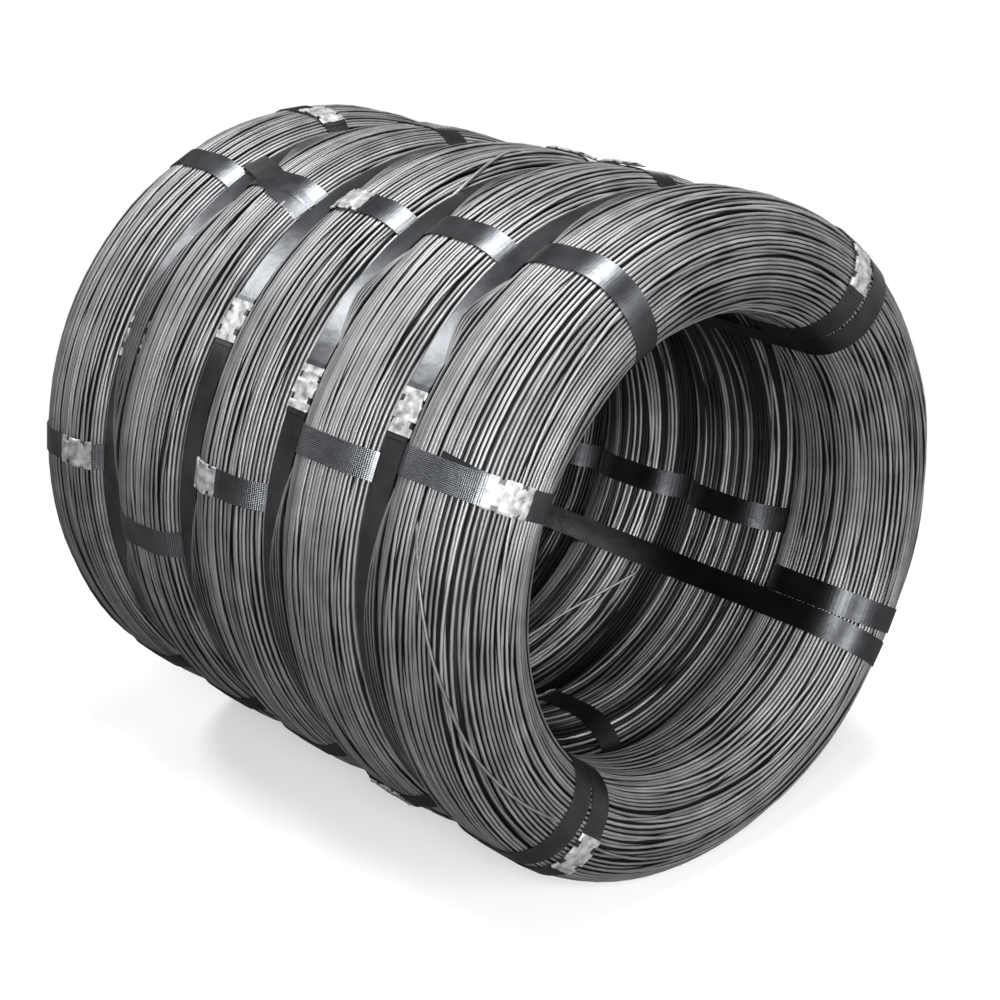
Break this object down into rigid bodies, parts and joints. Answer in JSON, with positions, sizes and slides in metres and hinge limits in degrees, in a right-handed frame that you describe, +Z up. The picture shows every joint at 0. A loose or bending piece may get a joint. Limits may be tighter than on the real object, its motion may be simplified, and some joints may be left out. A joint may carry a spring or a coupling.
{
  "type": "wire rod coil bundle",
  "caption": "Bundle of wire rod coils lying side by side on one axis, tied with flat steel straps and crimped seals, with an open bore for a hook or mandrel.",
  "frame": {"origin": "on the floor under the middle of the bundle", "axes": "+Y along the coils' axis from the front end to the rear, +Z up, +X to the right seen from the front"},
  "size_m": [0.8054, 0.8206, 0.8057],
  "materials": {
    "rod": "satin drawn steel",
    "strap": "glossy blued steel",
    "seal": "bright galvanised"
  },
  "bodies": {
    "root": {"coil_1": "rod", "coil_2": "rod", "coil_3": "rod", "coil_4": "rod", "coil_5": "rod", "coil_1_tie_right": "strap", "coil_1_tie_top": "strap", "coil_1_tie_left": "strap", "coil_1_tie_bottom": "strap", "coil_2_tie_right": "strap", "coil_2_tie_top": "strap", "coil_2_tie_left": "strap", "coil_2_tie_bottom": "strap", "coil_3_tie_right": "strap", "coil_3_tie_top": "strap", "coil_3_tie_left": "strap", "coil_3_tie_bottom": "strap", "coil_4_tie_right": "strap", "coil_4_tie_top": "strap", "coil_4_tie_left": "strap", "coil_4_tie_bottom": "strap", "coil_5_tie_right": "strap", "coil_5_tie_top": "strap", "coil_5_tie_left": "strap", "coil_5_tie_bottom": "strap", "coil_1_seal_right": "seal", "coil_1_seal_top": "seal", "coil_1_seal_left": "seal", "coil_1_seal_bottom": "seal", "coil_2_seal_right": "seal", "coil_2_seal_top": "seal", "coil_2_seal_left": "seal", "coil_2_seal_bottom": "seal", "coil_3_seal_right": "seal", "coil_3_seal_top": "seal", "coil_3_seal_left": "seal", "coil_3_seal_bottom": "seal", "coil_4_seal_right": "seal", "coil_4_seal_top": "seal", "coil_4_seal_left": "seal", "coil_4_seal_bottom": "seal", "coil_5_seal_right": "seal", "coil_5_seal_top": "seal", "coil_5_seal_left": "seal", "coil_5_seal_bottom": "seal", "through_strap_right": "strap", "through_strap_top": "strap", "through_strap_left": "strap", "through_strap_bottom": "strap", "through_seal_right": "seal", "through_seal_top": "seal", "through_seal_left": "seal", "through_seal_bottom": "seal", "hoop_strap_front": "strap", "hoop_strap_mid_front": "strap", "hoop_strap_mid_rear": "strap", "hoop_strap_rear": "strap", "hoop_seals": "seal"}
  },
  "joints": []
}
